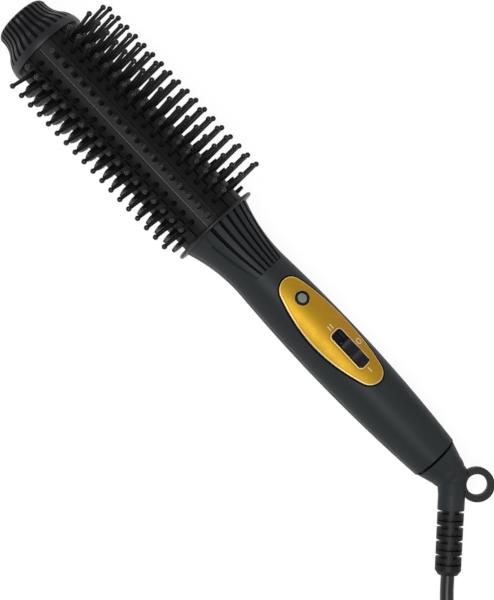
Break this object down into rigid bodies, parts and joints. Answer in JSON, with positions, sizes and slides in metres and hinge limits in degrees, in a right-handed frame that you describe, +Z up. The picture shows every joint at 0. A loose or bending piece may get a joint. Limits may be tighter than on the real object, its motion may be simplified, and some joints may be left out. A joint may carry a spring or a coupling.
{
  "type": "hair straightening brush",
  "caption": "Plug-in heated hair brush: round head of comb strips, tapering ribbed handle with sliding switch, light and swivelling cord outlet with hanging loop.",
  "frame": {"origin": "centre of the box round the brush without its cord, at the height of the surface that it lies on", "axes": "+X along the brush from the cool tip to the cord outlet, +Z up through the control panel, +Y to the panel's left as the tip points away"},
  "size_m": [0.5097, 0.1173, 0.0621],
  "materials": {
    "shell_plastic": "soft-touch, dark blue-grey",
    "cap_plastic": "satin, dark grey",
    "comb_plastic": "glossy black, heat-proof",
    "barrel_metal": "bright drawn",
    "panel_gold": "metallic gold, satin",
    "trim_black": "fine satin black",
    "lens_grey": "frosted",
    "steel": "plain",
    "ceramic_white": "off-white",
    "wire_sleeve": "woven sleeve, off-white",
    "board_green": "lacquered",
    "contact_brass": "bright",
    "cord_rubber": "satin black",
    "tie_fabric": "woven black"
  },
  "bodies": {
    "brush": {"tip_cap": "cap_plastic", "heater_barrel": "barrel_metal", "pin_strip_1": "comb_plastic", "pin_strip_2": "comb_plastic", "pin_strip_3": "comb_plastic", "pin_strip_4": "comb_plastic", "pin_strip_5": "comb_plastic", "pin_strip_6": "comb_plastic", "pin_strip_7": "comb_plastic", "fin_strip_1": "comb_plastic", "fin_strip_2": "comb_plastic", "fin_strip_3": "comb_plastic", "fin_strip_4": "comb_plastic", "fin_strip_5": "comb_plastic", "fin_strip_6": "comb_plastic", "fin_strip_7": "comb_plastic", "fin_strip_8": "comb_plastic", "fin_strip_9": "comb_plastic", "barrel_collar": "shell_plastic", "heater_plate": "ceramic_white", "heat_block_upper": "barrel_metal", "heat_block_lower": "barrel_metal", "thermal_fuse": "steel", "thermistor": "steel", "heater_leads": "wire_sleeve", "handle_top_shell": "shell_plastic", "handle_back_shell": "shell_plastic", "shell_screws": "steel", "control_panel": "panel_gold", "indicator_bezel": "trim_black", "indicator_lens": "lens_grey", "indicator_lamp": "lens_grey", "switch_well": "trim_black", "switch_body": "trim_black", "circuit_board": "board_green", "supply_leads": "wire_sleeve", "swivel_bush": "ceramic_white", "contact_fingers": "contact_brass"},
    "switch": {"switch_knob": "trim_black"},
    "outlet": {"swivel_elbow": "shell_plastic", "hang_loop": "cord_rubber", "strain_relief": "cord_rubber", "swivel_clip": "steel", "slip_rings": "contact_brass", "cord_lead": "cord_rubber", "cord_coil": "cord_rubber", "cord_tail": "cord_rubber", "cord_tie": "tie_fabric", "plug_body": "cord_rubber", "plug_pins": "contact_brass"}
  },
  "joints": [
    {"name": "switch_slide", "type": "slide", "parent": "brush", "child": "switch", "axis": [1, 0, 0], "range_m": [-0.0064, 0]},
    {"name": "cord_swivel", "type": "hinge", "parent": "brush", "child": "outlet", "pos_m": [0.135, 0, 0.0246], "axis": [1, 0, 0], "continuous": true}
  ]
}
